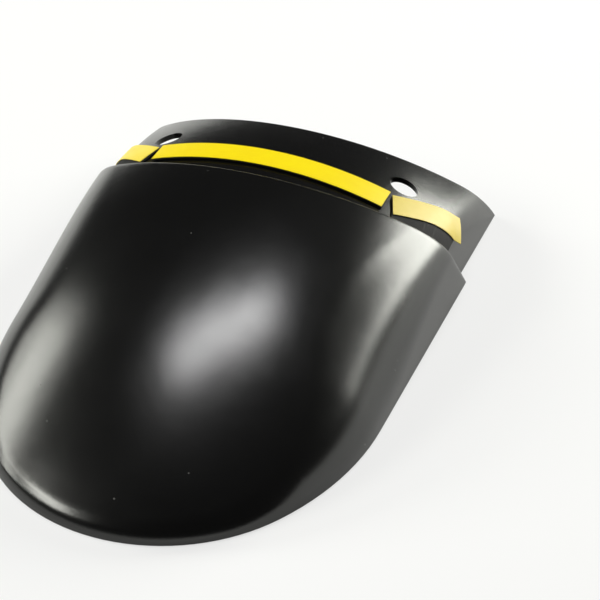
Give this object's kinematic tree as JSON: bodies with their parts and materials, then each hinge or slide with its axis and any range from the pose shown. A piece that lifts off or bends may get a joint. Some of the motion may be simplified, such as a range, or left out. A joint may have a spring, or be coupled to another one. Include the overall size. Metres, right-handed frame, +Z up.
{
  "type": "motorcycle mudguard extender",
  "caption": "Crowned black plastic shell with a rounded tip that lengthens a mudguard, with a stepped-in drilled tongue carrying lined foam tape.",
  "frame": {"origin": "middle of the footprint, in the plane that the rim rests on", "axes": "+Y from the rounded tip to the tongue, +X to the right, +Z up through the crown"},
  "size_m": [0.1412, 0.2066, 0.0481],
  "materials": {
    "shell_plastic": "satin black moulded ABS with a very fine grain",
    "tape_foam": "black closed-cell adhesive foam",
    "tape_liner": "yellow siliconised release liner with a soft sheen"
  },
  "bodies": {
    "root": {"extender_shell": "shell_plastic", "foam_tape_centre": "tape_foam", "foam_tape_left": "tape_foam", "foam_tape_right": "tape_foam", "liner_centre": "tape_liner", "liner_left": "tape_liner", "liner_right": "tape_liner"}
  },
  "joints": []
}
